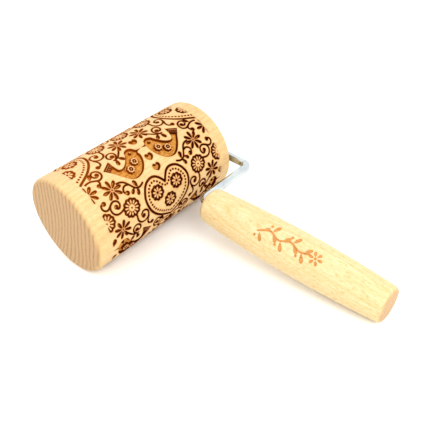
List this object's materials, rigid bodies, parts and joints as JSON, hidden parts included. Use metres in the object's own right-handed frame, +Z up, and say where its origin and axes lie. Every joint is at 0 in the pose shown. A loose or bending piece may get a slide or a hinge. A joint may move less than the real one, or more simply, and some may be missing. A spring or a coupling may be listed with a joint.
{
  "type": "pattern roller",
  "caption": "One-handed wooden roller: a drum with a sunk folk pattern spins on a bent wire frame held by a turned wooden handle.",
  "frame": {"origin": "centre of the drum's closed end face", "axes": "+X along the drum's axis from the closed end to the end where the wire comes out, -Y the handle's side, +Z up with the tool lying on a table at z = -0.028"},
  "size_m": [0.1055, 0.1793, 0.056],
  "materials": {
    "drum_beech": "fine sanded raw beech with a burnt-dark sunk pattern",
    "handle_beech": "fine sanded raw beech",
    "plated_wire": "bright nickel-plated steel rod",
    "bush_nylon": "natural nylon",
    "spring_steel": "oiled spring steel"
  },
  "bodies": {
    "frame": {"handle": "handle_beech", "wire_frame": "plated_wire", "retaining_clip": "spring_steel"},
    "drum": {"drum": "drum_beech", "mouth_bush": "bush_nylon", "inner_bush": "bush_nylon"}
  },
  "joints": [
    {"name": "drum_spin", "type": "hinge", "parent": "frame", "child": "drum", "pos_m": [0, 0, 0], "axis": [1, 0, 0], "continuous": true}
  ]
}
